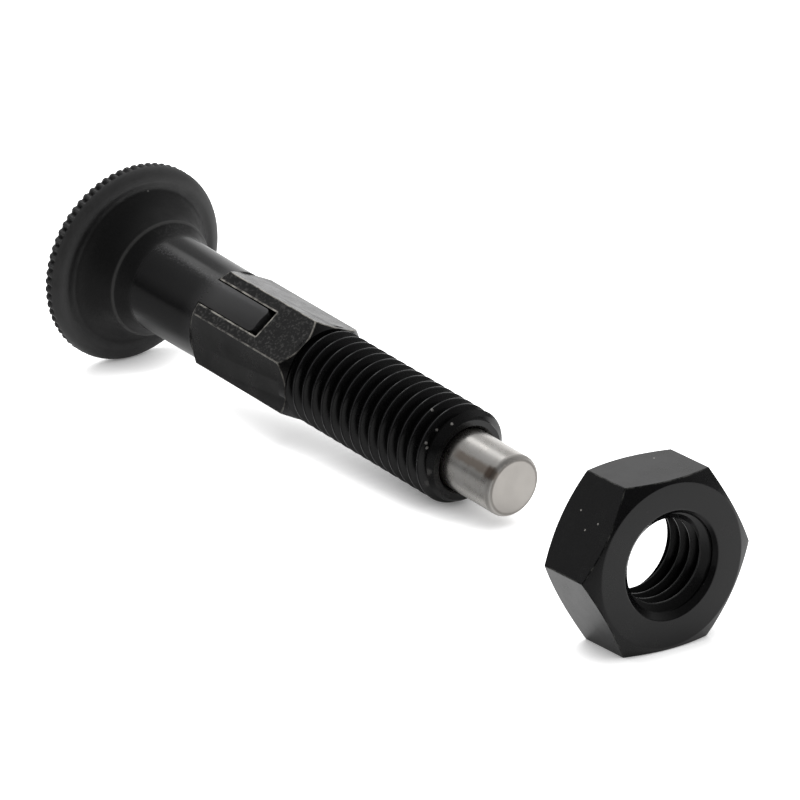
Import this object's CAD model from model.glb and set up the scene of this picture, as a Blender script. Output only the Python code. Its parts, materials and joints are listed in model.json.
import json
import math

import bmesh
import bpy
from mathutils import Matrix, Vector


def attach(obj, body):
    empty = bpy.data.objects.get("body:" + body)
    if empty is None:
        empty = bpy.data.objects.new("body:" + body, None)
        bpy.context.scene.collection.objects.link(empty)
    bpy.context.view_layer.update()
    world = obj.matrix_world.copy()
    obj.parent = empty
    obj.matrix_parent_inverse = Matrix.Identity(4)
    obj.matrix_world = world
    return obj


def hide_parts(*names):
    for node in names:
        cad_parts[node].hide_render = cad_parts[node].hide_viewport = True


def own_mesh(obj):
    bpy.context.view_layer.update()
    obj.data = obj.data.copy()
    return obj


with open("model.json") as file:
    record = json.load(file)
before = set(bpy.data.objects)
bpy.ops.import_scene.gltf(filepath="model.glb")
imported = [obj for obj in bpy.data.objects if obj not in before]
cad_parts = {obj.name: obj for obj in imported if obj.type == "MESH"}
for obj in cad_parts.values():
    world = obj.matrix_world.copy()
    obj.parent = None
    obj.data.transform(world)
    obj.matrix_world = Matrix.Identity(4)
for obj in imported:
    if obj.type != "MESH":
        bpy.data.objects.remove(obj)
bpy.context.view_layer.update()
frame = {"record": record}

# ---------------------------------------------------------------------------
# Sizes in millimetres. Along the plunger's axis, s is 0 at the face of the
# threaded end and negative towards the knob.
# ---------------------------------------------------------------------------
MM = 0.001

THREAD_RADIUS = 5.0
THREAD_PITCH = 1.5
THREAD_TURN = 171.2
THREAD_START = -0.45
BODY_GROOVE_TURNS = 17
NUT_GROOVE_TURNS = 7
GROOVE_STEPS = 96
BARREL_LENGTH = 22.5
BARREL_CHAMFER = 0.8

HEXAGON_HALF_FLATS = 4.94
HEXAGON_LENGTH = 15.4
HEXAGON_CHAMFER_ANGLE = 34.0
HEXAGON_BACK_CHAMFER = 0.6
SLOTTED_FLAT_TURN = 38.0
SLOT_WIDTH = 3.2
SLOT_DEPTH = 9.5
WEB_THICKNESS = 2.2
STEM_HOLE_RADIUS = 1.62

PIN_RADIUS = 3.2
PIN_REACH = 7.15
PIN_GUIDED_LENGTH = 13.0
PIN_EDGE_RADIUS = 0.55
BORE_RADIUS = 3.25
STEM_RADIUS = 1.5
STEM_HELD_LENGTH = 11.0

SPRING_WIRE_RADIUS = 0.325
SPRING_TURNS = 5

KNOB_RADIUS = 10.5
KNOB_BEAD_WIDTH = 1.65
KNOB_BEAD_RISE = 1.3
KNOB_CREASE_DEPTH = 0.15
KNOB_CREASE_WIDTH = 0.4
KNOB_FLARE_HEIGHT = 3.6
KNOB_FLARE_HOLLOW = 0.3
KNOB_COLLAR_RADIUS = 6.1
KNOB_COLLAR_FOOT = 1.4
KNURL_BAND_WIDTH = 0.7
KNURL_TEETH = 72
KNOB_BACK_EDGE = 0.3
KNOB_BACK_RISE = 1.2
KNOB_BACK_FLAT = 7.0
NECK_RADIUS = 5.075
NECK_LENGTH = 10.1
NECK_DRAFT = 0.5
LUG_LENGTH = 8.6
LUG_THICKNESS = 2.96
LUG_END_FLAT = 1.6
LUG_INNER_REACH = 1.95

NUT_HALF_FLATS = 8.4
NUT_THICKNESS = 7.7
NUT_CHAMFER_ANGLE = 30.0
NUT_CHAMFER_SET_IN = 0.35
NUT_BORE_RADIUS = 4.188
NUT_MOUTH_RADIUS = 5.4

# How far a joined or cutting shape runs past the face it meets
OVERLAP = 1.0
# A piece that a cut has lost is built again, with what cuts it turned by a hair, in degrees
BUILD_TRIES = 6
HAIR_TURN = 0.01
LEAST_BODY_VOLUME = 1000.0
LEAST_NUT_VOLUME = 1000.0
STEEL_EDGE_BREAK = 0.09
PLASTIC_EDGE_BREAK = 0.05

# Half of each thread groove's section: depth under the crest and half the width there
BODY_GROOVE = (
    (-0.4, 0.60),
    (-0.02, 0.715),
    (0.035, 0.675),
    (0.10, 0.615),
    (0.78, 0.225),
    (0.88, 0.13),
)
BODY_GROOVE_DEPTH = 0.90
NUT_GROOVE = (
    (-0.388, 0.60),
    (-0.018, 0.715),
    (0.022, 0.69),
    (0.072, 0.645),
    (0.772, 0.24),
    (0.862, 0.13),
)
NUT_GROOVE_DEPTH = 0.892

# The knob's teeth: steps round one tooth, and how far each step is drawn in
STEPS_IN_TOOTH = 8
TOOTH_POCKETS = ((0, 0.958), (1, 0.966), (7, 0.966), (2, 0.984), (6, 0.984), (3, 0.997), (5, 0.997))
TOOTH_REAR_EDGE = ((0, 0.979), (1, 0.984), (7, 0.984), (2, 0.992), (6, 0.992))
TEETH_FADE_OUT = 0.13

S_HEXAGON_FRONT = -BARREL_LENGTH
S_HEXAGON_BACK = S_HEXAGON_FRONT - HEXAGON_LENGTH
S_SLOT_FLOOR = S_HEXAGON_BACK + SLOT_DEPTH
S_WEB_FRONT = S_SLOT_FLOOR + WEB_THICKNESS
S_PIN_SHOULDER = -PIN_GUIDED_LENGTH
S_NECK_FOOT = S_HEXAGON_BACK - NECK_LENGTH
S_COLLAR = S_NECK_FOOT - KNOB_COLLAR_FOOT
S_CREASE = S_COLLAR - KNOB_FLARE_HEIGHT
S_BEAD_FRONT = S_CREASE + KNOB_CREASE_DEPTH
S_RIM_FRONT = S_BEAD_FRONT - KNOB_BEAD_RISE
S_RIM_BACK = S_RIM_FRONT - KNURL_BAND_WIDTH
S_BACK_EDGE = S_RIM_BACK - KNOB_BACK_EDGE
S_KNOB_BACK = S_BACK_EDGE - KNOB_BACK_RISE
HEXAGON_CORNER_RADIUS = HEXAGON_HALF_FLATS / math.cos(math.pi / 6)
NUT_CORNER_RADIUS = NUT_HALF_FLATS / math.cos(math.pi / 6)

# ---------------------------------------------------------------------------
# Where the plunger and the nut lie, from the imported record's mounts
# ---------------------------------------------------------------------------
mounts = {mount["name"]: mount for mount in frame["record"]["mounts"]}
barrel_mount = mounts["threaded_barrel"]
plunger_axis = Vector(barrel_mount["axis"]).normalized()
thread_end = Vector(barrel_mount["pos_m"]) + plunger_axis * (BARREL_LENGTH / 2 * MM)
nut_mount = mounts["nut_thread"]
nut_axis = Vector(nut_mount["axis"]).normalized()
nut_centre = Vector(nut_mount["pos_m"])


def axis_place(origin, along, across):
    """The matrix that stands local Z on 'along' and local X on 'across', at 'origin'."""
    side = along.cross(across)
    place = Matrix((across, side, along)).transposed().to_4x4()
    place.translation = origin
    return place


straight_up = Vector((-plunger_axis.z, 0.0, plunger_axis.x))
flat_turn = math.radians(SLOTTED_FLAT_TURN)
flat_normal = straight_up * math.cos(flat_turn) + Vector((0, -1, 0)) * math.sin(flat_turn)
plunger_place = axis_place(thread_end, plunger_axis, flat_normal)
nut_place = axis_place(nut_centre, nut_axis, Vector((0, 0, 1)))


# ---------------------------------------------------------------------------
# Modelling tools
# ---------------------------------------------------------------------------
def use(piece):
    """Make this piece the only one selected and the active one."""
    bpy.ops.object.select_all(action="DESELECT")
    piece.select_set(True)
    bpy.context.view_layer.objects.active = piece


def tidy_mesh(piece, threshold=1e-4):
    """Merge doubles, close seams and turn every face outwards."""
    use(piece)
    bpy.ops.object.mode_set(mode="EDIT")
    bpy.ops.mesh.select_all(action="SELECT")
    bpy.ops.mesh.remove_doubles(threshold=threshold)
    bpy.ops.mesh.normals_make_consistent(inside=False)
    bpy.ops.object.mode_set(mode="OBJECT")


def drawn_section(name, corners):
    """A half section drawn in the XZ plane: one vertex, extruded from corner to corner."""
    bpy.ops.object.select_all(action="DESELECT")
    bpy.ops.mesh.primitive_plane_add(size=1, location=(0, 0, 0))
    piece = bpy.context.active_object
    piece.name = name
    bpy.ops.object.mode_set(mode="EDIT")
    bpy.ops.mesh.select_mode(type="VERT")
    bpy.ops.mesh.select_all(action="SELECT")
    bpy.ops.mesh.merge(type="CENTER")
    bpy.ops.transform.translate(value=(corners[0][0], 0, corners[0][1]))
    for start, stop in zip(corners, corners[1:]):
        step = (stop[0] - start[0], 0, stop[1] - start[1])
        bpy.ops.mesh.extrude_region_move(TRANSFORM_OT_translate={"value": step})
    bpy.ops.object.mode_set(mode="OBJECT")
    return piece


def turned(name, corners, steps=128):
    """A solid of revolution about Z from a half section given as (radius, s)."""
    piece = drawn_section(name, corners)
    bpy.ops.object.mode_set(mode="EDIT")
    bpy.ops.mesh.select_all(action="SELECT")
    bpy.ops.mesh.spin(steps=steps, angle=2 * math.pi, center=(0, 0, 0), axis=(0, 0, 1))
    bpy.ops.object.mode_set(mode="OBJECT")
    tidy_mesh(piece)
    return piece


def arc(centre, radii, start, stop, count):
    """Points on an arc of an ellipse, angles in degrees from the radius direction."""
    points = []
    for i in range(count + 1):
        angle = math.radians(start + (stop - start) * i / count)
        points.append((centre[0] + radii[0] * math.cos(angle), centre[1] + radii[1] * math.sin(angle)))
    return points


def bezier(start, pull, stop, count):
    """Points on a quadratic curve, without its first one."""
    points = []
    for i in range(1, count + 1):
        t = i / count
        radius = (1 - t) ** 2 * start[0] + 2 * t * (1 - t) * pull[0] + t * t * stop[0]
        s = (1 - t) ** 2 * start[1] + 2 * t * (1 - t) * pull[1] + t * t * stop[1]
        points.append((radius, s))
    return points


def hexagonal_bar(name, half_flats, s_low, s_high):
    """A six-sided bar along Z with one flat facing +X."""
    bpy.ops.object.select_all(action="DESELECT")
    bpy.ops.mesh.primitive_cylinder_add(
        vertices=6,
        radius=half_flats / math.cos(math.pi / 6),
        depth=s_high - s_low,
        location=(0, 0, (s_high + s_low) / 2),
        rotation=(0, 0, 0),
    )
    piece = bpy.context.active_object
    piece.name = name
    bpy.ops.object.transform_apply(location=True, rotation=True, scale=True)
    return piece


def block(name, size, centre):
    """A box of this size about this centre."""
    bpy.ops.object.select_all(action="DESELECT")
    bpy.ops.mesh.primitive_cube_add(size=1, location=centre, scale=size)
    piece = bpy.context.active_object
    piece.name = name
    bpy.ops.object.transform_apply(location=True, rotation=True, scale=True)
    return piece


def volume(piece):
    """How many cubic millimetres a piece holds."""
    measured = bmesh.new()
    measured.from_mesh(piece.data)
    held = measured.calc_volume()
    measured.free()
    return held


def built(make, least_volume):
    """Build a piece. The cut along a thread can, rarely, lose it, and then it is built again."""
    for attempt in range(BUILD_TRIES):
        piece = make(attempt * HAIR_TURN)
        if volume(piece) > least_volume:
            break
        bpy.data.objects.remove(piece)
    return piece


def turn_about_axis(piece, degrees):
    """Turn a piece about its own axis."""
    piece.data.transform(Matrix.Rotation(math.radians(degrees), 4, "Z"))


def carve(piece, tool, operation):
    """Join, cut or keep what is common, and use the tool up."""
    cut = piece.modifiers.new("cut", "BOOLEAN")
    cut.operation = operation
    cut.solver = "EXACT"
    cut.object = tool
    use(piece)
    bpy.ops.object.modifier_apply(modifier=cut.name)
    bpy.data.objects.remove(tool)


def break_edges(piece, width, segments=3, angle=25):
    """Round every sharp edge a little, as tumbling and plating leave it."""
    edge = piece.modifiers.new("edge", "BEVEL")
    edge.width = width
    edge.segments = segments
    edge.limit_method = "ANGLE"
    edge.angle_limit = math.radians(angle)
    use(piece)
    bpy.ops.object.modifier_apply(modifier=edge.name)


def smooth(piece, angle):
    """Shade softly wherever neighbouring faces meet at less than this angle in degrees."""
    use(piece)
    bpy.ops.object.shade_smooth_by_angle(angle=math.radians(angle))


def helical(name, outline, pitch, turns, steps, start):
    """A closed outline (radius, s) carried along a right-hand helix, and capped at both ends."""
    shifted = [(radius, s + start) for radius, s in outline]
    piece = drawn_section(name, shifted + shifted[:1])
    tidy_mesh(piece)
    helix = piece.modifiers.new("helix", "SCREW")
    helix.axis = "Z"
    helix.angle = 2 * math.pi
    helix.screw_offset = pitch
    helix.iterations = turns
    helix.steps = steps
    helix.render_steps = steps
    helix.use_merge_vertices = False
    use(piece)
    bpy.ops.object.modifier_apply(modifier=helix.name)
    bpy.ops.object.mode_set(mode="EDIT")
    bpy.ops.mesh.select_all(action="SELECT")
    bpy.ops.mesh.remove_doubles(threshold=1e-5)
    bpy.ops.mesh.select_all(action="SELECT")
    bpy.ops.mesh.fill_holes(sides=0)
    bpy.ops.mesh.select_all(action="SELECT")
    bpy.ops.mesh.normals_make_consistent(inside=False)
    bpy.ops.object.mode_set(mode="OBJECT")
    return piece


def groove_section(crest_radius, half, depth, towards):
    """A thread groove's outline. It goes inwards where 'towards' is -1 and outwards where it is 1."""
    near_side = [(round(crest_radius + towards * sunk, 4), -width) for sunk, width in half]
    far_side = [(radius, -s) for radius, s in reversed(near_side)]
    return near_side + [(round(crest_radius + towards * depth, 4), 0.0)] + far_side


def deselect_mesh(piece):
    """Clear every vertex, edge and face, so that a choice can be made by place."""
    for part in (piece.data.vertices, piece.data.edges, piece.data.polygons):
        for element in part:
            element.select = False


def seat(piece, place):
    """Carry a piece, modelled about its own axis in millimetres, to its place in metres."""
    piece.data.transform(place @ Matrix.Scale(MM, 4))
    piece.data.update()


# ---------------------------------------------------------------------------
# Pieces
# ---------------------------------------------------------------------------
def slotted_hexagon():
    """Hexagon with its turned chamfers and the cross slot for the knob's lugs."""
    chamfer = (HEXAGON_CORNER_RADIUS - THREAD_RADIUS) / math.tan(math.radians(HEXAGON_CHAMFER_ANGLE))
    head = hexagonal_bar("body_turned", HEXAGON_HALF_FLATS, S_HEXAGON_BACK, S_HEXAGON_FRONT)
    envelope = turned(
        "envelope",
        [
            (0, S_HEXAGON_BACK),
            (THREAD_RADIUS, S_HEXAGON_BACK),
            (HEXAGON_CORNER_RADIUS + 0.02, S_HEXAGON_BACK + HEXAGON_BACK_CHAMFER),
            (HEXAGON_CORNER_RADIUS + 0.02, S_HEXAGON_FRONT - chamfer),
            (THREAD_RADIUS - 0.3, S_HEXAGON_FRONT + 0.3),
            (0, S_HEXAGON_FRONT + 0.3),
        ],
        steps=144,
    )
    carve(head, envelope, "INTERSECT")
    slot = block(
        "slot",
        (3 * HEXAGON_CORNER_RADIUS, SLOT_WIDTH, 2 * SLOT_DEPTH),
        (0, 0, S_HEXAGON_BACK),
    )
    carve(head, slot, "DIFFERENCE")
    tidy_mesh(head)
    break_edges(head, STEEL_EDGE_BREAK)
    return head


def threaded_barrel(hair):
    """Chamfered barrel with the helical groove cut along the whole of it."""
    barrel = turned(
        "barrel",
        [
            (0, S_HEXAGON_FRONT - OVERLAP),
            (THREAD_RADIUS, S_HEXAGON_FRONT - OVERLAP),
            (THREAD_RADIUS, -BARREL_CHAMFER),
            (THREAD_RADIUS - BARREL_CHAMFER, 0),
            (0, 0),
        ],
    )
    section = groove_section(THREAD_RADIUS, BODY_GROOVE, BODY_GROOVE_DEPTH, -1)
    start = S_HEXAGON_FRONT + THREAD_START
    groove = helical("thread_groove", section, THREAD_PITCH, BODY_GROOVE_TURNS, GROOVE_STEPS, start)
    turn_about_axis(groove, THREAD_TURN + hair)
    carve(barrel, groove, "DIFFERENCE")
    return barrel


def make_body(hair):
    """Slotted hexagon and threaded barrel in one, bored for the pin, its spring and the stem."""
    head = slotted_hexagon()
    carve(head, threaded_barrel(hair), "UNION")
    hollow = turned(
        "hollow",
        [
            (0, S_SLOT_FLOOR - OVERLAP),
            (STEM_HOLE_RADIUS, S_SLOT_FLOOR - OVERLAP),
            (STEM_HOLE_RADIUS, S_WEB_FRONT),
            (BORE_RADIUS, S_WEB_FRONT),
            (BORE_RADIUS, -0.3),
            (BORE_RADIUS + 0.4, 0.1),
            (0, 0.1),
        ],
        steps=96,
    )
    carve(head, hollow, "DIFFERENCE")
    tidy_mesh(head, 1e-5)
    smooth(head, 8)
    return head


def make_pin():
    """Ground pin with the thin stem behind it."""
    rounding = arc(
        (PIN_RADIUS - PIN_EDGE_RADIUS, PIN_REACH - PIN_EDGE_RADIUS),
        (PIN_EDGE_RADIUS, PIN_EDGE_RADIUS),
        0,
        90,
        6,
    )
    s_stem_end = S_HEXAGON_BACK - STEM_HELD_LENGTH
    outline = [(0, s_stem_end), (STEM_RADIUS, s_stem_end), (STEM_RADIUS, S_PIN_SHOULDER)]
    outline += [(PIN_RADIUS - 0.2, S_PIN_SHOULDER), (PIN_RADIUS, S_PIN_SHOULDER + 0.2)]
    outline += rounding + [(0, PIN_REACH)]
    pin = turned("locking_pin_ground", outline)
    smooth(pin, 30)
    return pin


def make_spring():
    """Coil between the web and the pin's shoulder."""
    coil_radius = BORE_RADIUS - 0.2 - SPRING_WIRE_RADIUS
    length = S_PIN_SHOULDER - S_WEB_FRONT - 2 * SPRING_WIRE_RADIUS - 0.05
    wire = arc((coil_radius, 0), (SPRING_WIRE_RADIUS, SPRING_WIRE_RADIUS), 0, 360 - 30, 11)
    start = S_WEB_FRONT + SPRING_WIRE_RADIUS
    spring = helical("spring_coil", wire, length / SPRING_TURNS, SPRING_TURNS, 48, start)
    smooth(spring, 60)
    return spring


def knob_outline():
    """Half section of the knob and its neck: neck, collar, hollow flare, bead, toothed band, back."""
    neck_foot = (NECK_RADIUS + NECK_LENGTH * math.tan(math.radians(NECK_DRAFT)), S_NECK_FOOT + 0.3)
    neck_turn = (neck_foot[0] + 0.1, S_NECK_FOOT - 0.4)
    bead_centre = KNOB_RADIUS - KNOB_BEAD_WIDTH
    crease = bead_centre - KNOB_CREASE_WIDTH
    flare_start = (KNOB_COLLAR_RADIUS + 0.14, S_COLLAR - 0.16)
    flare_middle = (
        (KNOB_COLLAR_RADIUS + crease) / 2 - 2 * KNOB_FLARE_HOLLOW,
        (S_COLLAR + S_CREASE) / 2 - 2 * KNOB_FLARE_HOLLOW,
    )
    flare_end = (crease - 0.35, S_CREASE + 0.3)
    valley_middle = (crease - 0.12, S_CREASE - 0.02)
    valley_end = (bead_centre + 0.25, S_BEAD_FRONT - 0.015)
    back_edge = KNOB_RADIUS - KNOB_BACK_EDGE
    fade_radius = (1 - TEETH_FADE_OUT) * back_edge + TEETH_FADE_OUT * KNOB_BACK_FLAT
    outline = [(0, S_HEXAGON_BACK), (NECK_RADIUS - 0.08, S_HEXAGON_BACK)]
    outline += [(NECK_RADIUS, S_HEXAGON_BACK - 0.08), neck_foot]
    outline += bezier(neck_foot, neck_turn, (KNOB_COLLAR_RADIUS, S_COLLAR), 6)
    outline += [(KNOB_COLLAR_RADIUS + 0.05, S_COLLAR - 0.02), flare_start]
    outline += bezier(flare_start, flare_middle, flare_end, 10)
    outline += bezier(flare_end, valley_middle, valley_end, 8)
    outline += arc((bead_centre, S_RIM_FRONT), (KNOB_BEAD_WIDTH, KNOB_BEAD_RISE), 76, 0, 12)
    outline += [(KNOB_RADIUS, S_RIM_FRONT - 0.1), (KNOB_RADIUS - 0.03, S_RIM_FRONT - 0.2)]
    outline += [(KNOB_RADIUS, S_RIM_FRONT - 0.32), (KNOB_RADIUS, S_RIM_BACK + 0.15)]
    outline += [(KNOB_RADIUS - 0.06, S_RIM_BACK), (KNOB_RADIUS - 0.14, S_RIM_BACK - 0.15)]
    outline += [(back_edge, S_BACK_EDGE), (fade_radius, S_BACK_EDGE - TEETH_FADE_OUT * KNOB_BACK_RISE)]
    outline += [(KNOB_BACK_FLAT, S_KNOB_BACK), (0, S_KNOB_BACK)]
    return outline


def draw_in(piece, s_low, s_high, column, shrink):
    """Draw in one column of every tooth, between two places along the axis."""
    deselect_mesh(piece)
    for vertex in piece.data.vertices:
        turn = math.atan2(vertex.co.y, vertex.co.x) % (2 * math.pi) / (2 * math.pi)
        place = round(turn * KNURL_TEETH * STEPS_IN_TOOTH) % STEPS_IN_TOOTH
        vertex.select = place == column and s_low < vertex.co.z <= s_high
    bpy.ops.object.mode_set(mode="EDIT")
    bpy.ops.mesh.select_mode(type="VERT")
    bpy.ops.transform.resize(value=(shrink, shrink, 1), center_override=(0, 0, 0))
    bpy.ops.object.mode_set(mode="OBJECT")


def press_teeth(knob):
    """Rounded pockets round the knob's band, running out over its rear edge."""
    s_middle = S_RIM_FRONT - 0.4
    use(knob)
    for column, shrink in TOOTH_POCKETS:
        draw_in(knob, s_middle, S_RIM_FRONT + 0.2, column, shrink)
    for column, shrink in TOOTH_REAR_EDGE:
        draw_in(knob, S_RIM_BACK - 0.35, s_middle, column, shrink)


def make_lugs():
    """Two lugs with rounded ends, flush with the neck, that slide in the hexagon's slot."""
    lugs = block(
        "lugs",
        (2 * NECK_RADIUS + 1, LUG_THICKNESS, LUG_LENGTH + OVERLAP),
        (0, 0, S_HEXAGON_BACK + (LUG_LENGTH - OVERLAP) / 2),
    )
    deselect_mesh(lugs)
    for edge in lugs.data.edges:
        first, last = (lugs.data.vertices[index].co for index in edge.vertices)
        edge.select = abs(first.x - last.x) > 1 and first.z > S_HEXAGON_BACK
    bpy.ops.object.mode_set(mode="EDIT")
    bpy.ops.mesh.select_mode(type="EDGE")
    bpy.ops.mesh.bevel(offset=(LUG_THICKNESS - LUG_END_FLAT) / 2, segments=8)
    bpy.ops.object.mode_set(mode="OBJECT")
    gap = block(
        "gap",
        (2 * LUG_INNER_REACH, 2 * SLOT_WIDTH, 2 * LUG_LENGTH),
        (0, 0, S_HEXAGON_BACK + LUG_LENGTH),
    )
    carve(lugs, gap, "DIFFERENCE")
    sleeve = turned(
        "sleeve",
        [
            (0, S_HEXAGON_BACK - 2 * OVERLAP),
            (NECK_RADIUS, S_HEXAGON_BACK - 2 * OVERLAP),
            (NECK_RADIUS, S_HEXAGON_BACK + LUG_LENGTH + OVERLAP),
            (0, S_HEXAGON_BACK + LUG_LENGTH + OVERLAP),
        ],
    )
    carve(lugs, sleeve, "INTERSECT")
    break_edges(lugs, PLASTIC_EDGE_BREAK, segments=2)
    return lugs


def make_knob():
    """Pull knob with its neck and lugs, moulded in one."""
    knob = turned("knob_moulded", knob_outline(), steps=KNURL_TEETH * STEPS_IN_TOOTH)
    press_teeth(knob)
    carve(knob, make_lugs(), "UNION")
    tidy_mesh(knob, 1e-5)
    smooth(knob, 40)
    return knob


def make_lock_nut(hair):
    """Hexagon nut with chamfered faces, countersinks and its inside thread."""
    half = NUT_THICKNESS / 2
    face_radius = NUT_HALF_FLATS - NUT_CHAMFER_SET_IN
    chamfer_height = (NUT_CORNER_RADIUS - face_radius) * math.tan(math.radians(NUT_CHAMFER_ANGLE))
    nut = hexagonal_bar("lock_nut_threaded", NUT_HALF_FLATS, -half, half)
    envelope = turned(
        "nut_envelope",
        [
            (0, -half),
            (face_radius, -half),
            (NUT_CORNER_RADIUS + 0.05, chamfer_height - half),
            (NUT_CORNER_RADIUS + 0.05, half - chamfer_height),
            (face_radius, half),
            (0, half),
        ],
        steps=192,
    )
    carve(nut, envelope, "INTERSECT")
    countersink = NUT_MOUTH_RADIUS - NUT_BORE_RADIUS
    bore = turned(
        "nut_bore",
        [
            (0, -half - 0.5),
            (NUT_MOUTH_RADIUS + 0.5, -half - 0.5),
            (NUT_BORE_RADIUS, countersink - half),
            (NUT_BORE_RADIUS, half - countersink),
            (NUT_MOUTH_RADIUS + 0.5, half + 0.5),
            (0, half + 0.5),
        ],
    )
    turn_about_axis(bore, hair)
    carve(nut, bore, "DIFFERENCE")
    tidy_mesh(nut)
    break_edges(nut, STEEL_EDGE_BREAK)
    section = groove_section(NUT_BORE_RADIUS, NUT_GROOVE, NUT_GROOVE_DEPTH, 1)
    start = -half - THREAD_PITCH
    groove = helical("nut_groove", section, THREAD_PITCH, NUT_GROOVE_TURNS, GROOVE_STEPS, start)
    carve(nut, groove, "DIFFERENCE")
    tidy_mesh(nut, 1e-5)
    smooth(nut, 9)
    return nut


body = built(make_body, LEAST_BODY_VOLUME)
pin = make_pin()
spring = make_spring()
knob = make_knob()
lock_nut = built(make_lock_nut, LEAST_NUT_VOLUME)
for piece in (body, pin, spring, knob):
    seat(piece, plunger_place)
seat(lock_nut, nut_place)


# ---------------------------------------------------------------------------
# Materials
# ---------------------------------------------------------------------------
def new_material(name):
    material = bpy.data.materials.new(name)
    material.use_nodes = True
    return material, material.node_tree, material.node_tree.nodes["Principled BSDF"]


def wire(tree, source, socket):
    """Feed a socket from another socket, or set it to a constant."""
    if isinstance(source, bpy.types.NodeSocket):
        tree.links.new(source, socket)
    else:
        socket.default_value = source


def sums(tree, operation, first, second=0.0, clamp=False):
    node = tree.nodes.new("ShaderNodeMath")
    node.operation = operation
    node.use_clamp = clamp
    wire(tree, first, node.inputs[0])
    wire(tree, second, node.inputs[1])
    return node.outputs[0]


def vectors(tree, operation, first, second=(0.0, 0.0, 0.0)):
    node = tree.nodes.new("ShaderNodeVectorMath")
    node.operation = operation
    wire(tree, first, node.inputs[0])
    wire(tree, second, node.inputs[1])
    as_value = operation in ("DOT_PRODUCT", "LENGTH", "DISTANCE")
    return node.outputs["Value" if as_value else "Vector"]


def scaled(tree, vector, factor):
    node = tree.nodes.new("ShaderNodeVectorMath")
    node.operation = "SCALE"
    wire(tree, vector, node.inputs[0])
    wire(tree, factor, node.inputs["Scale"])
    return node.outputs["Vector"]


def ranged(tree, value, low, high, to_low=0.0, to_high=1.0):
    """A soft step from one level to another as the value goes from low to high."""
    node = tree.nodes.new("ShaderNodeMapRange")
    node.interpolation_type = "SMOOTHSTEP"
    wire(tree, value, node.inputs["Value"])
    wire(tree, low, node.inputs["From Min"])
    wire(tree, high, node.inputs["From Max"])
    wire(tree, to_low, node.inputs["To Min"])
    wire(tree, to_high, node.inputs["To Max"])
    return node.outputs["Result"]


def noise(tree, vector, scale, detail=2.0, roughness=0.5):
    node = tree.nodes.new("ShaderNodeTexNoise")
    wire(tree, vector, node.inputs["Vector"])
    wire(tree, scale, node.inputs["Scale"])
    wire(tree, detail, node.inputs["Detail"])
    wire(tree, roughness, node.inputs["Roughness"])
    return node.outputs["Fac"]


def blend(tree, factor, first, second):
    """Mix two colours."""
    node = tree.nodes.new("ShaderNodeMix")
    node.data_type = "RGBA"
    wire(tree, factor, node.inputs["Factor"])
    wire(tree, first, node.inputs[6])
    wire(tree, second, node.inputs[7])
    return node.outputs[2]


def new_group(name, inputs, outputs):
    """A node group with these sockets; gives back its tree, its inputs and its output node."""
    group = bpy.data.node_groups.new(name, "ShaderNodeTree")
    for socket_name, kind in inputs:
        group.interface.new_socket(name=socket_name, in_out="INPUT", socket_type=kind)
    for socket_name, kind in outputs:
        group.interface.new_socket(name=socket_name, in_out="OUTPUT", socket_type=kind)
    source = group.nodes.new("NodeGroupInput")
    result = group.nodes.new("NodeGroupOutput")
    return group, source.outputs, result.inputs


def use_group(tree, group, **values):
    node = tree.nodes.new("ShaderNodeGroup")
    node.node_tree = group
    for socket_name, value in values.items():
        wire(tree, value, node.inputs[socket_name])
    return node.outputs


def turned_coordinates_group():
    """Millimetres along an axis and out from it, and the angle round it in degrees."""
    group, source, result = new_group(
        "turned_coordinates",
        [
            ("Position", "NodeSocketVector"),
            ("Origin", "NodeSocketVector"),
            ("Axis", "NodeSocketVector"),
            ("Across", "NodeSocketVector"),
        ],
        [("Along", "NodeSocketFloat"), ("Out", "NodeSocketFloat"), ("Angle", "NodeSocketFloat")],
    )
    offset = scaled(group, vectors(group, "SUBTRACT", source["Position"], source["Origin"]), 1000.0)
    along = vectors(group, "DOT_PRODUCT", offset, source["Axis"])
    outward = vectors(group, "SUBTRACT", offset, scaled(group, source["Axis"], along))
    side = vectors(group, "CROSS_PRODUCT", source["Axis"], source["Across"])
    angle = sums(
        group,
        "ARCTAN2",
        vectors(group, "DOT_PRODUCT", outward, side),
        vectors(group, "DOT_PRODUCT", outward, source["Across"]),
    )
    wire(group, along, result["Along"])
    wire(group, vectors(group, "LENGTH", outward), result["Out"])
    wire(group, sums(group, "DEGREES", angle), result["Angle"])
    return group


def hexagon_reach_group():
    """How far a point reaches towards the flats of a hexagon: towards the nearest and the next."""
    group, source, result = new_group(
        "hexagon_reach",
        [("Out", "NodeSocketFloat"), ("Angle", "NodeSocketFloat")],
        [("Nearest", "NodeSocketFloat"), ("Next", "NodeSocketFloat")],
    )
    reaches = []
    for turn in (0.0, 60.0, 120.0):
        angle = sums(group, "RADIANS", sums(group, "SUBTRACT", source["Angle"], turn))
        reach = sums(group, "MULTIPLY", source["Out"], sums(group, "COSINE", angle))
        reaches.append(sums(group, "ABSOLUTE", reach))
    nearest = sums(group, "MAXIMUM", sums(group, "MAXIMUM", reaches[0], reaches[1]), reaches[2])
    least = sums(group, "MINIMUM", sums(group, "MINIMUM", reaches[0], reaches[1]), reaches[2])
    total = sums(group, "ADD", sums(group, "ADD", reaches[0], reaches[1]), reaches[2])
    wire(group, nearest, result["Nearest"])
    wire(group, sums(group, "SUBTRACT", sums(group, "SUBTRACT", total, nearest), least), result["Next"])
    return group


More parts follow.
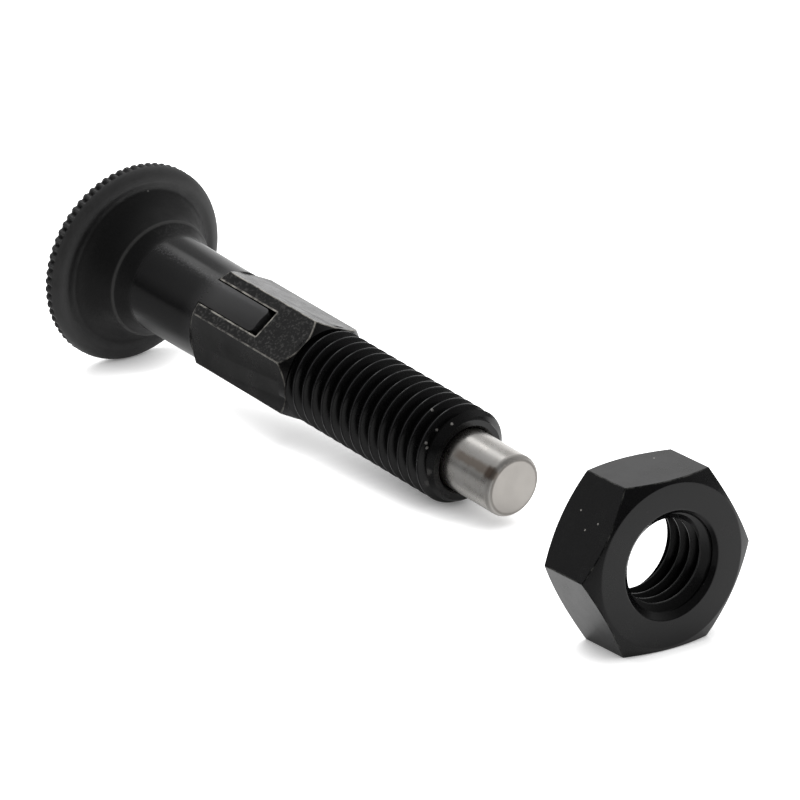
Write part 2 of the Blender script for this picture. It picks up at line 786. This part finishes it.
def rubbed_group():
    """Breaks a worn line up so that it is bright in some places and gone in others."""
    group, source, result = new_group(
        "rubbed",
        [
            ("Position", "NodeSocketVector"),
            ("Line", "NodeSocketFloat"),
            ("Unevenness", "NodeSocketFloat"),
        ],
        [("Mask", "NodeSocketFloat")],
    )
    patchy = noise(group, source["Position"], 900.0, 3.0, 0.6)
    kept = ranged(group, patchy, sums(group, "MULTIPLY", source["Unevenness"], 0.9), 0.66)
    wire(group, sums(group, "MULTIPLY", source["Line"], kept), result["Mask"])
    return group


def specks_group():
    """Small scattered pale grains of dust, thinly spread."""
    group, source, result = new_group(
        "specks",
        [
            ("Position", "NodeSocketVector"),
            ("Scale", "NodeSocketFloat"),
            ("Size", "NodeSocketFloat"),
            ("Amount", "NodeSocketFloat"),
        ],
        [("Mask", "NodeSocketFloat")],
    )
    cells = group.nodes.new("ShaderNodeTexVoronoi")
    cells.feature = "F1"
    wire(group, source["Position"], cells.inputs["Vector"])
    wire(group, source["Scale"], cells.inputs["Scale"])
    grain = ranged(group, cells.outputs["Distance"], source["Size"], 0.0)
    parts = group.nodes.new("ShaderNodeSeparateColor")
    wire(group, cells.outputs["Color"], parts.inputs["Color"])
    chosen = sums(group, "LESS_THAN", parts.outputs["Red"], source["Amount"])
    wire(group, sums(group, "MULTIPLY", grain, chosen), result["Mask"])
    return group


def grain_group():
    """Fine even grain with a slower mottle through it."""
    group, source, result = new_group(
        "grain",
        [("Position", "NodeSocketVector"), ("Scale", "NodeSocketFloat")],
        [("Fine", "NodeSocketFloat"), ("Mottle", "NodeSocketFloat")],
    )
    fine = noise(group, source["Position"], source["Scale"], 3.0, 0.65)
    slow = noise(group, source["Position"], sums(group, "MULTIPLY", source["Scale"], 0.12), 4.0, 0.6)
    wire(group, fine, result["Fine"])
    wire(group, slow, result["Mottle"])
    return group


turned_coordinates = turned_coordinates_group()
hexagon_reach = hexagon_reach_group()
rubbed_line = rubbed_group()
specks = specks_group()
grain = grain_group()


def position_of(tree):
    return tree.nodes.new("ShaderNodeTexCoord").outputs["Object"]


def about_plunger(tree, position):
    return use_group(
        tree,
        turned_coordinates,
        Position=position,
        Origin=tuple(thread_end),
        Axis=tuple(plunger_axis),
        Across=tuple(flat_normal),
    )


def about_nut(tree, position):
    return use_group(
        tree,
        turned_coordinates,
        Position=position,
        Origin=tuple(nut_centre),
        Axis=tuple(nut_axis),
        Across=(0.0, 0.0, 1.0),
    )


def times(tree, *factors):
    product = factors[0]
    for factor in factors[1:]:
        product = sums(tree, "MULTIPLY", product, factor)
    return product


def highest(tree, *values):
    top = values[0]
    for value in values[1:]:
        top = sums(tree, "MAXIMUM", top, value)
    return top


def hexagon_edge_lines(tree, place, half_flats, width, cones):
    """Lines where flat meets flat, and where a flat meets a turned chamfer.

    Each cone is given as (s where its radius is the half-flat size, how much its
    radius grows per millimetre of s).
    """
    reach = use_group(tree, hexagon_reach, Out=place["Out"], Angle=place["Angle"])
    on_flat = ranged(tree, reach["Nearest"], half_flats - width, half_flats - width * 0.4)
    lines = [ranged(tree, reach["Next"], half_flats - width, half_flats - width * 0.4)]
    for s_start, growth in cones:
        cone = sums(tree, "MULTIPLY", sums(tree, "SUBTRACT", place["Along"], s_start), growth)
        short = sums(tree, "SUBTRACT", sums(tree, "ADD", cone, half_flats), place["Out"])
        lines.append(times(tree, ranged(tree, short, width, width * 0.4), on_flat))
    return highest(tree, *lines)


def spots(tree, position, seat_place, marks, size):
    """Uneven marks, each about this many millimetres across."""
    jitter = noise(tree, position, 5200.0, 2.0)
    total = 0.0
    for along, out, turn in marks:
        angle = math.radians(turn)
        centre = Vector((out * math.cos(angle), out * math.sin(angle), along))
        distance = vectors(tree, "DISTANCE", position, tuple(seat_place @ (centre * MM)))
        uneven = sums(tree, "MULTIPLY", distance, sums(tree, "ADD", jitter, 0.6))
        mark = ranged(tree, uneven, size / 2 * MM, size / 5 * MM)
        total = sums(tree, "MAXIMUM", mark, total)
    return total


def bumped(tree, shader, height, strength, distance):
    node = tree.nodes.new("ShaderNodeBump")
    wire(tree, strength, node.inputs["Strength"])
    wire(tree, distance, node.inputs["Distance"])
    wire(tree, height, node.inputs["Height"])
    tree.links.new(node.outputs["Normal"], shader.inputs["Normal"])


def band(tree, value, centre, half_width):
    """1 at the centre, 0 beyond the half width."""
    away = sums(tree, "ABSOLUTE", sums(tree, "SUBTRACT", value, centre))
    return ranged(tree, away, half_width, half_width * 0.3)


def layered(tree, colour, layers):
    """Lay colours over one another, each through its mask."""
    for mask, over in layers:
        colour = blend(tree, mask, colour, (*over, 1.0))
    return colour


# Marks, each as millimetres along and out from the plunger's or the nut's axis, and degrees round it
BODY_CHIPS = (
    (-3.36, 4.93, -12.8),
    (-1.47, 4.38, 3.4),
    (-0.39, 4.59, -12.5),
    (-1.53, 4.64, 24.2),
    (-1.37, 4.41, 29.5),
)
BODY_RUBS = ((-0.38, 4.58, 56.4), (-1.12, 4.33, 79.7))
KNOB_SPECKS = ((-52.85, 8.24, -40.7),)
NECK_DUST = ((-35.42, 4.4, -39.0),)
NUT_SPECKS = ((-1.4, 8.5, 51.3), (1.55, 8.44, 54.4), (0.24, 8.4, 61.4), (-1.87, 8.66, -14.0))
NUT_RUBS = ((3.07, 9.43, -90.8),)

# Colours that the marks and the wear have in common
BARE_STEEL = (0.42, 0.40, 0.36)
CHIPPED_STEEL = (0.30, 0.29, 0.275)
RUBBED_GREY = (0.16, 0.155, 0.15)
PALE_DUST = (0.16, 0.155, 0.145)


def black_oxide_material():
    """Blackened steel: toothed slotted flat, smoother sides, bright where the edges have rubbed."""
    material, tree, shader = new_material("black_oxide_steel")
    position = position_of(tree)
    place = about_plunger(tree, position)
    texture = use_group(tree, grain, Position=position, Scale=3600.0)
    dust = use_group(tree, specks, Position=position, Scale=1500.0, Size=0.09, Amount=0.10)
    slope = math.tan(math.radians(HEXAGON_CHAMFER_ANGLE))
    front_start = S_HEXAGON_FRONT - (HEXAGON_HALF_FLATS - THREAD_RADIUS) / slope
    back_growth = (HEXAGON_CORNER_RADIUS - THREAD_RADIUS) / HEXAGON_BACK_CHAMFER
    back_start = S_HEXAGON_BACK + (HEXAGON_HALF_FLATS - THREAD_RADIUS) / back_growth
    cones = [(front_start, -slope), (back_start, back_growth)]
    edge_lines = hexagon_edge_lines(tree, place, HEXAGON_HALF_FLATS, 0.11, cones)
    edge_lines = times(tree, edge_lines, ranged(tree, place["Angle"], 45.0, -15.0, 0.45, 1.0))
    on_hexagon = ranged(tree, place["Along"], S_HEXAGON_FRONT + 0.1, S_HEXAGON_FRONT - 0.1)
    angle = sums(tree, "RADIANS", place["Angle"])
    across_slot = sums(tree, "ABSOLUTE", times(tree, place["Out"], sums(tree, "SINE", angle)))
    towards_flat = sums(tree, "ABSOLUTE", times(tree, sums(tree, "COSINE", angle), place["Out"]))
    flat_low, flat_high = HEXAGON_HALF_FLATS - 0.10, HEXAGON_HALF_FLATS - 0.04
    on_slotted_flat = ranged(tree, towards_flat, flat_low, flat_high)
    leg_lines = times(
        tree,
        band(tree, across_slot, SLOT_WIDTH / 2 + 0.06, 0.15),
        ranged(tree, place["Along"], S_SLOT_FLOOR + 0.12, S_SLOT_FLOOR),
    )
    floor_line = times(
        tree,
        band(tree, place["Along"], S_SLOT_FLOOR + 0.06, 0.15),
        ranged(tree, across_slot, SLOT_WIDTH / 2 + 0.12, SLOT_WIDTH / 2),
    )
    slot_lines = times(tree, highest(tree, leg_lines, floor_line), on_slotted_flat)
    lines = times(tree, highest(tree, edge_lines, slot_lines), on_hexagon)
    worn = use_group(tree, rubbed_line, Position=position, Line=lines, Unevenness=0.30)
    crests = ranged(tree, place["Out"], THREAD_RADIUS - 0.09, THREAD_RADIUS - 0.02)
    crests = times(tree, crests, sums(tree, "SUBTRACT", 1.0, on_hexagon))
    nicks = times(tree, crests, ranged(tree, noise(tree, position, 1300.0, 3.0, 0.7), 0.62, 0.74))
    chips = spots(tree, position, plunger_place, BODY_CHIPS, 0.42)
    rubs = spots(tree, position, plunger_place, BODY_RUBS, 1.1)
    tooth = times(tree, ranged(tree, texture["Fine"], 0.52, 0.62), on_slotted_flat, on_hexagon)
    cloudy = times(tree, ranged(tree, texture["Mottle"], 0.35, 0.7), on_hexagon)
    colour = layered(
        tree,
        (0.0030, 0.0030, 0.0032, 1.0),
        [
            (times(tree, cloudy, 0.4), (0.012, 0.0118, 0.0115)),
            (times(tree, tooth, 0.45), (0.10, 0.098, 0.094)),
            (times(tree, dust["Mask"], 0.35), PALE_DUST),
            (times(tree, crests, 0.20), (0.06, 0.06, 0.065)),
            (times(tree, nicks, 0.45), (0.16, 0.16, 0.16)),
            (times(tree, rubs, 0.35), RUBBED_GREY),
            (times(tree, worn["Mask"], 0.9), BARE_STEEL),
            (chips, CHIPPED_STEEL),
        ],
    )
    wire(tree, colour, shader.inputs["Base Color"])
    shader.inputs["Specular IOR Level"].default_value = 0.45
    rough = ranged(tree, texture["Mottle"], 0.3, 0.7, 0.19, 0.28)
    wire(tree, sums(tree, "ADD", rough, times(tree, on_slotted_flat, 0.12)), shader.inputs["Roughness"])
    toothed = times(tree, on_slotted_flat, on_hexagon)
    height = times(tree, texture["Fine"], sums(tree, "ADD", 0.15, toothed))
    bumped(tree, shader, height, 0.5, 0.00003)
    return material


def nut_oxide_material():
    """Blackened nut: glossier than the plunger, with a few pale specks of dust."""
    material, tree, shader = new_material("nut_black_oxide")
    position = position_of(tree)
    place = about_nut(tree, position)
    texture = use_group(tree, grain, Position=position, Scale=3000.0)
    rise = 1 / math.tan(math.radians(NUT_CHAMFER_ANGLE))
    s_cone = NUT_THICKNESS / 2 - NUT_CHAMFER_SET_IN * math.tan(math.radians(NUT_CHAMFER_ANGLE))
    cones = [(s_cone, -rise), (-s_cone, rise)]
    edge_lines = hexagon_edge_lines(tree, place, NUT_HALF_FLATS, 0.12, cones)
    worn = use_group(tree, rubbed_line, Position=position, Line=edge_lines, Unevenness=0.46)
    dust = use_group(tree, specks, Position=position, Scale=1100.0, Size=0.08, Amount=0.07)
    inside = ranged(tree, place["Out"], NUT_MOUTH_RADIUS + 0.2, NUT_MOUTH_RADIUS - 0.2)
    crests = ranged(tree, place["Out"], NUT_BORE_RADIUS + 0.12, NUT_BORE_RADIUS + 0.04)
    crests = times(tree, crests, inside)
    marks = spots(tree, position, nut_place, NUT_SPECKS, 0.28)
    rubs = spots(tree, position, nut_place, NUT_RUBS, 0.8)
    colour = layered(
        tree,
        (0.0042, 0.0042, 0.0045, 1.0),
        [
            (times(tree, ranged(tree, texture["Mottle"], 0.45, 0.7), 0.3), (0.012, 0.012, 0.012)),
            (times(tree, dust["Mask"], 0.35), (0.15, 0.145, 0.14)),
            (times(tree, crests, 0.35), (0.10, 0.10, 0.10)),
            (times(tree, worn["Mask"], 0.30), (0.20, 0.195, 0.185)),
            (times(tree, rubs, 0.5), (0.20, 0.19, 0.18)),
            (times(tree, marks, 0.8), (0.45, 0.43, 0.40)),
        ],
    )
    wire(tree, colour, shader.inputs["Base Color"])
    shader.inputs["Specular IOR Level"].default_value = 0.36
    wire(tree, ranged(tree, texture["Mottle"], 0.3, 0.7, 0.20, 0.28), shader.inputs["Roughness"])
    height = sums(tree, "ADD", times(tree, texture["Fine"], 0.3), texture["Mottle"])
    bumped(tree, shader, height, 0.12, 0.00003)
    return material


def plastic_material():
    """Moulded black plastic: matte grained knob, smooth shiny neck, dusty ring round its foot."""
    material, tree, shader = new_material("grained_black_plastic")
    position = position_of(tree)
    place = about_plunger(tree, position)
    texture = use_group(tree, grain, Position=position, Scale=4600.0)
    dust = use_group(tree, specks, Position=position, Scale=1300.0, Size=0.09, Amount=0.12)
    on_neck = ranged(tree, place["Along"], S_NECK_FOOT - 0.2, S_NECK_FOOT + 0.8)
    on_lugs = ranged(tree, place["Along"], S_HEXAGON_BACK - 2.0, S_HEXAGON_BACK + 2.0)
    ring = times(
        tree,
        band(tree, place["Out"], KNOB_COLLAR_RADIUS + 0.02, 0.16),
        band(tree, place["Along"], S_COLLAR, 0.35),
    )
    foot = times(
        tree,
        ranged(tree, place["Along"], S_COLLAR - 0.05, S_COLLAR + 0.1),
        ranged(tree, place["Along"], S_NECK_FOOT + 0.5, S_NECK_FOOT - 0.2),
    )
    foot = times(tree, foot, band(tree, place["Angle"], -55.0, 45.0))
    rim = ranged(tree, place["Out"], KNOB_RADIUS - 2.0, KNOB_RADIUS - 0.8)
    streaks = noise(tree, vectors(tree, "MULTIPLY", position, (60.0, 1800.0, 1800.0)), 1.0, 3.0)
    streak_line = times(tree, band(tree, place["Angle"], -14.0, 9.0), on_neck)
    streak_line = times(tree, streak_line, ranged(tree, texture["Fine"], 0.44, 0.66))
    specks_here = spots(tree, position, plunger_place, KNOB_SPECKS, 0.30)
    neck_dust = spots(tree, position, plunger_place, NECK_DUST, 0.75)
    foot_grain = times(tree, foot, ranged(tree, texture["Fine"], 0.5, 0.62))
    cloudy_rim = times(tree, rim, ranged(tree, texture["Mottle"], 0.2, 0.6, 0.75, 1.0))
    colour = layered(
        tree,
        (0.0036, 0.0036, 0.0039, 1.0),
        [
            (cloudy_rim, (0.043, 0.043, 0.0434)),
            (times(tree, on_neck, 0.7), (0.0030, 0.0030, 0.0034)),
            (times(tree, on_lugs, 0.8), (0.052, 0.052, 0.0532)),
            (times(tree, foot_grain, 0.35), (0.05, 0.05, 0.05)),
            (times(tree, dust["Mask"], 0.10), (0.15, 0.15, 0.145)),
            (times(tree, streak_line, 0.26), (0.10, 0.098, 0.102)),
            (times(tree, ring, 0.55), (0.09, 0.09, 0.088)),
            (times(tree, specks_here, 0.5), (0.30, 0.29, 0.28)),
            (times(tree, neck_dust, 0.2), (0.12, 0.12, 0.12)),
        ],
    )
    wire(tree, colour, shader.inputs["Base Color"])
    shader.inputs["Specular IOR Level"].default_value = 0.55
    matte = ranged(tree, texture["Mottle"], 0.3, 0.7, 0.46, 0.54)
    shiny = ranged(tree, streaks, 0.3, 0.7, 0.14, 0.22)
    shiny = sums(tree, "ADD", shiny, times(tree, on_lugs, 0.14))
    matte = times(tree, matte, sums(tree, "SUBTRACT", 1.0, on_neck))
    rough = sums(tree, "ADD", matte, times(tree, shiny, on_neck))
    wire(tree, rough, shader.inputs["Roughness"])
    height = times(tree, texture["Fine"], sums(tree, "SUBTRACT", 1.05, on_neck))
    height = sums(tree, "ADD", height, times(tree, neck_dust, 3.0))
    height = sums(tree, "ADD", height, times(tree, streaks, 0.10))
    bumped(tree, shader, height, 0.45, 0.00005)
    return material


def stainless_material():
    """Ground stainless pin: fine rings from turning, a brown stain run along it and an oily base."""
    material, tree, shader = new_material("ground_stainless")
    position = position_of(tree)
    place = about_plunger(tree, position)
    rings = noise(tree, times(tree, place["Along"], 9.0), 1.0, 4.0, 0.7)
    cloud = noise(tree, position, 650.0, 4.0, 0.6)
    ragged = sums(tree, "ADD", times(tree, cloud, 12.0), -6.0)
    ragged_angle = sums(tree, "ADD", place["Angle"], ragged)
    on_side = ranged(tree, place["Out"], PIN_RADIUS - 0.5, PIN_RADIUS - 0.2)
    run = band(tree, ragged_angle, 16.0, 13.0)
    run = times(tree, run, on_side, ranged(tree, place["Along"], 0.4, 1.8))
    end_patch = band(tree, ragged_angle, 17.0, 17.0)
    end_patch = times(tree, end_patch, band(tree, place["Along"], PIN_REACH - 0.8, 0.75), on_side)
    oil = times(tree, ranged(tree, place["Along"], 1.3, 0.1), ranged(tree, cloud, 0.35, 0.6))
    dust = use_group(tree, specks, Position=position, Scale=1400.0, Size=0.10, Amount=0.10)
    face = ranged(tree, place["Along"], PIN_REACH - 0.12, PIN_REACH - 0.02)
    mixed = sums(tree, "ADD", times(tree, rings, 0.4), times(tree, cloud, 0.6))
    tone = ranged(tree, mixed, 0.38, 0.62)
    turn_start = PIN_RADIUS - PIN_EDGE_RADIUS
    end_turn = times(
        tree,
        ranged(tree, place["Along"], PIN_REACH - 0.8, PIN_REACH - 0.45),
        ranged(tree, place["Out"], turn_start - 0.05, turn_start + 0.1),
    )
    colour = layered(
        tree,
        blend(tree, tone, (0.78, 0.75, 0.71, 1.0), (0.88, 0.86, 0.83, 1.0)),
        [
            (times(tree, face, 0.95), (0.45, 0.427, 0.40)),
            (times(tree, run, 0.8), (0.40, 0.33, 0.275)),
            (times(tree, end_patch, 0.85), (0.17, 0.125, 0.10)),
            (times(tree, oil, 0.5), (0.12, 0.11, 0.06)),
            (times(tree, dust["Mask"], 0.25), (0.30, 0.28, 0.25)),
        ],
    )
    wire(tree, colour, shader.inputs["Base Color"])
    shader.inputs["Metallic"].default_value = 1.0
    rough = ranged(tree, cloud, 0.3, 0.7, 0.24, 0.34)
    rough = sums(tree, "ADD", rough, times(tree, face, 0.12))
    rough = sums(tree, "ADD", rough, times(tree, end_turn, 0.30))
    wire(tree, rough, shader.inputs["Roughness"])
    bumped(tree, shader, rings, 0.06, 0.00003)
    return material


def spring_material():
    """Drawn spring steel, with drawing lines and a little oil."""
    material, tree, shader = new_material("spring_wire")
    position = position_of(tree)
    texture = use_group(tree, grain, Position=position, Scale=3000.0)
    drawn = ranged(tree, texture["Mottle"], 0.3, 0.7)
    colour = blend(tree, drawn, (0.30, 0.28, 0.25, 1.0), (0.48, 0.47, 0.45, 1.0))
    wire(tree, colour, shader.inputs["Base Color"])
    shader.inputs["Metallic"].default_value = 1.0
    wire(tree, ranged(tree, texture["Fine"], 0.3, 0.7, 0.28, 0.42), shader.inputs["Roughness"])
    bumped(tree, shader, texture["Fine"], 0.2, 0.00003)
    return material


black_oxide = black_oxide_material()
nut_oxide = nut_oxide_material()
plastic = plastic_material()
stainless = stainless_material()
spring_wire = spring_material()


def dress(piece, material, body_name, node):
    piece.data.materials.clear()
    piece.data.materials.append(material)
    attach(piece, body_name)
    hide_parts(node)


dress(body, black_oxide, "housing", "body")
dress(lock_nut, nut_oxide, "housing", "lock_nut")
dress(spring, spring_wire, "housing", "spring")
dress(knob, plastic, "puller", "knob")
dress(pin, stainless, "puller", "locking_pin")

# the spring shortens towards the web as the knob is pulled
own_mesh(spring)

# ---------------------------------------------------------------------------
# Floor, light and camera
# ---------------------------------------------------------------------------
bpy.ops.object.select_all(action="DESELECT")
bpy.ops.mesh.primitive_plane_add(size=4.0, location=(0, 0, 0))
floor = bpy.context.active_object
floor.name = "floor"
FLOOR_GLOW = 1.0
MIRRORED_GLOW = 0.5
SHADOW_REACH = 0.004


def pale_floor_material():
    """A white floor that keeps only the soft shadow close to where things touch it."""
    material, tree, shader = new_material("pale_floor")
    shader.inputs["Roughness"].default_value = 0.7
    shader.inputs["Specular IOR Level"].default_value = 0.1
    near = tree.nodes.new("ShaderNodeAmbientOcclusion")
    near.samples = 16
    near.inputs["Distance"].default_value = SHADOW_REACH
    path = tree.nodes.new("ShaderNodeLightPath")
    mirrored_ray = path.outputs["Is Glossy Ray"]
    # only for mirrored rays: how far the ray has come from behind, along the shared frame's Y
    ray = tree.nodes.new("ShaderNodeNewGeometry").outputs["Incoming"]
    forward = ranged(tree, vectors(tree, "DOT_PRODUCT", ray, (0.0, 1.0, 0.0)), 0.05, 0.5)
    dimmed = times(tree, sums(tree, "ADD", times(tree, forward, 0.55), 0.45), mirrored_ray)
    white = (0.9, 0.9, 0.9, 1.0)
    wire(tree, blend(tree, dimmed, white, (0.24, 0.24, 0.24, 1.0)), shader.inputs["Base Color"])
    open_part = sums(tree, "POWER", near.outputs["AO"], 0.9)
    mirrored = times(tree, mirrored_ray, sums(tree, "SUBTRACT", 1.0, forward), MIRRORED_GLOW)
    shown = highest(tree, path.outputs["Is Camera Ray"], path.outputs["Is Transmission Ray"], mirrored)
    strength = times(tree, open_part, shown, FLOOR_GLOW)
    shader.inputs["Emission Color"].default_value = (1, 1, 1, 1)
    wire(tree, strength, shader.inputs["Emission Strength"])
    return material


floor.data.materials.append(pale_floor_material())

# Where the studio is bright, as directions out from the object
SOFTBOX_DIRECTION = (-0.618, 0.179, 0.764)
TOWARDS_CAMERA = (0.733, -0.585, 0.346)
DARK_SIDE = (0.52, -0.83, -0.2)
BEHIND = (-0.782, 0.623, 0.0)
WORLD_LEVEL = 0.8


def studio_world():
    """White all round; what glossy surfaces mirror is white behind, a softbox above, dark in front."""
    world = bpy.data.worlds.new("studio")
    bpy.context.scene.world = world
    world.use_nodes = True
    tree = world.node_tree
    tree.nodes.clear()
    output = tree.nodes.new("ShaderNodeOutputWorld")
    path = tree.nodes.new("ShaderNodeLightPath")
    direction = vectors(tree, "NORMALIZE", tree.nodes.new("ShaderNodeTexCoord").outputs["Generated"])
    height = vectors(tree, "DOT_PRODUCT", direction, (0.0, 0.0, 1.0))
    behind = vectors(tree, "DOT_PRODUCT", direction, BEHIND)
    softbox = vectors(tree, "DOT_PRODUCT", direction, SOFTBOX_DIRECTION)
    front = vectors(tree, "DOT_PRODUCT", direction, TOWARDS_CAMERA)
    mirrored = ranged(tree, height, 0.0, 0.5, 0.10, 0.42)
    mirrored = times(tree, mirrored, ranged(tree, front, 0.6, -0.3, 0.25, 1.0))
    mirrored = sums(tree, "MAXIMUM", mirrored, ranged(tree, behind, 0.76, 0.97, 0.0, 0.95))
    mirrored = sums(tree, "MAXIMUM", mirrored, ranged(tree, softbox, 0.975, 0.995, 0.0, 1.5))
    see_through = highest(tree, path.outputs["Is Camera Ray"], path.outputs["Is Transmission Ray"])
    dark_side = vectors(tree, "DOT_PRODUCT", direction, DARK_SIDE)
    scattered = ranged(tree, dark_side, 0.6, -0.5, WORLD_LEVEL * 0.1, WORLD_LEVEL * 1.25)
    level = ranged(tree, path.outputs["Is Glossy Ray"], 0.0, 1.0, scattered, mirrored)
    level = sums(tree, "MAXIMUM", level, see_through)
    light = tree.nodes.new("ShaderNodeBackground")
    light.inputs["Color"].default_value = (1, 1, 1, 1)
    wire(tree, level, light.inputs["Strength"])
    tree.links.new(light.outputs[0], output.inputs["Surface"])


studio_world()


def area_light(name, position, target, size, power):
    light = bpy.data.lights.new(name, "AREA")
    light.shape = "RECTANGLE"
    light.size = size[0]
    light.size_y = size[1]
    light.energy = power
    lamp = bpy.data.objects.new(name, light)
    bpy.context.scene.collection.objects.link(lamp)
    lamp.location = position
    aim = Vector(target) - Vector(position)
    lamp.rotation_euler = aim.to_track_quat("-Z", "Y").to_euler()
    lamp.visible_glossy = False
    return lamp


area_light("overhead_softbox", (-0.28, 0.1, 0.5), (0, 0, 0), (0.5, 0.4), 2.3)

# The camera looks from the -Y side, a little down, with a long lens.
CAMERA_AZIMUTH = 51.446
CAMERA_ELEVATION = 20.237
CAMERA_DISTANCE = 0.80375
CAMERA_LENS = 8254.4 * 36 / 800
CAMERA_AIM_RIGHT = 0.001372
CAMERA_AIM_UP = 0.009062
azimuth = math.radians(CAMERA_AZIMUTH)
elevation = math.radians(CAMERA_ELEVATION)
back = Vector(
    (
        math.sin(azimuth) * math.cos(elevation),
        -math.cos(azimuth) * math.cos(elevation),
        math.sin(elevation),
    )
)
right = Vector((0, 0, 1)).cross(back).normalized()
up = back.cross(right)
camera_data = bpy.data.cameras.new("camera")
camera_data.lens = CAMERA_LENS
camera_data.sensor_width = 36.0
camera_data.clip_start = 0.01
camera = bpy.data.objects.new("camera", camera_data)
bpy.context.scene.collection.objects.link(camera)
camera.location = right * CAMERA_AIM_RIGHT + up * CAMERA_AIM_UP + back * CAMERA_DISTANCE
camera.rotation_euler = Matrix((right, up, back)).transposed().to_euler()
bpy.context.scene.camera = camera
bpy.context.scene.view_settings.view_transform = "Standard"
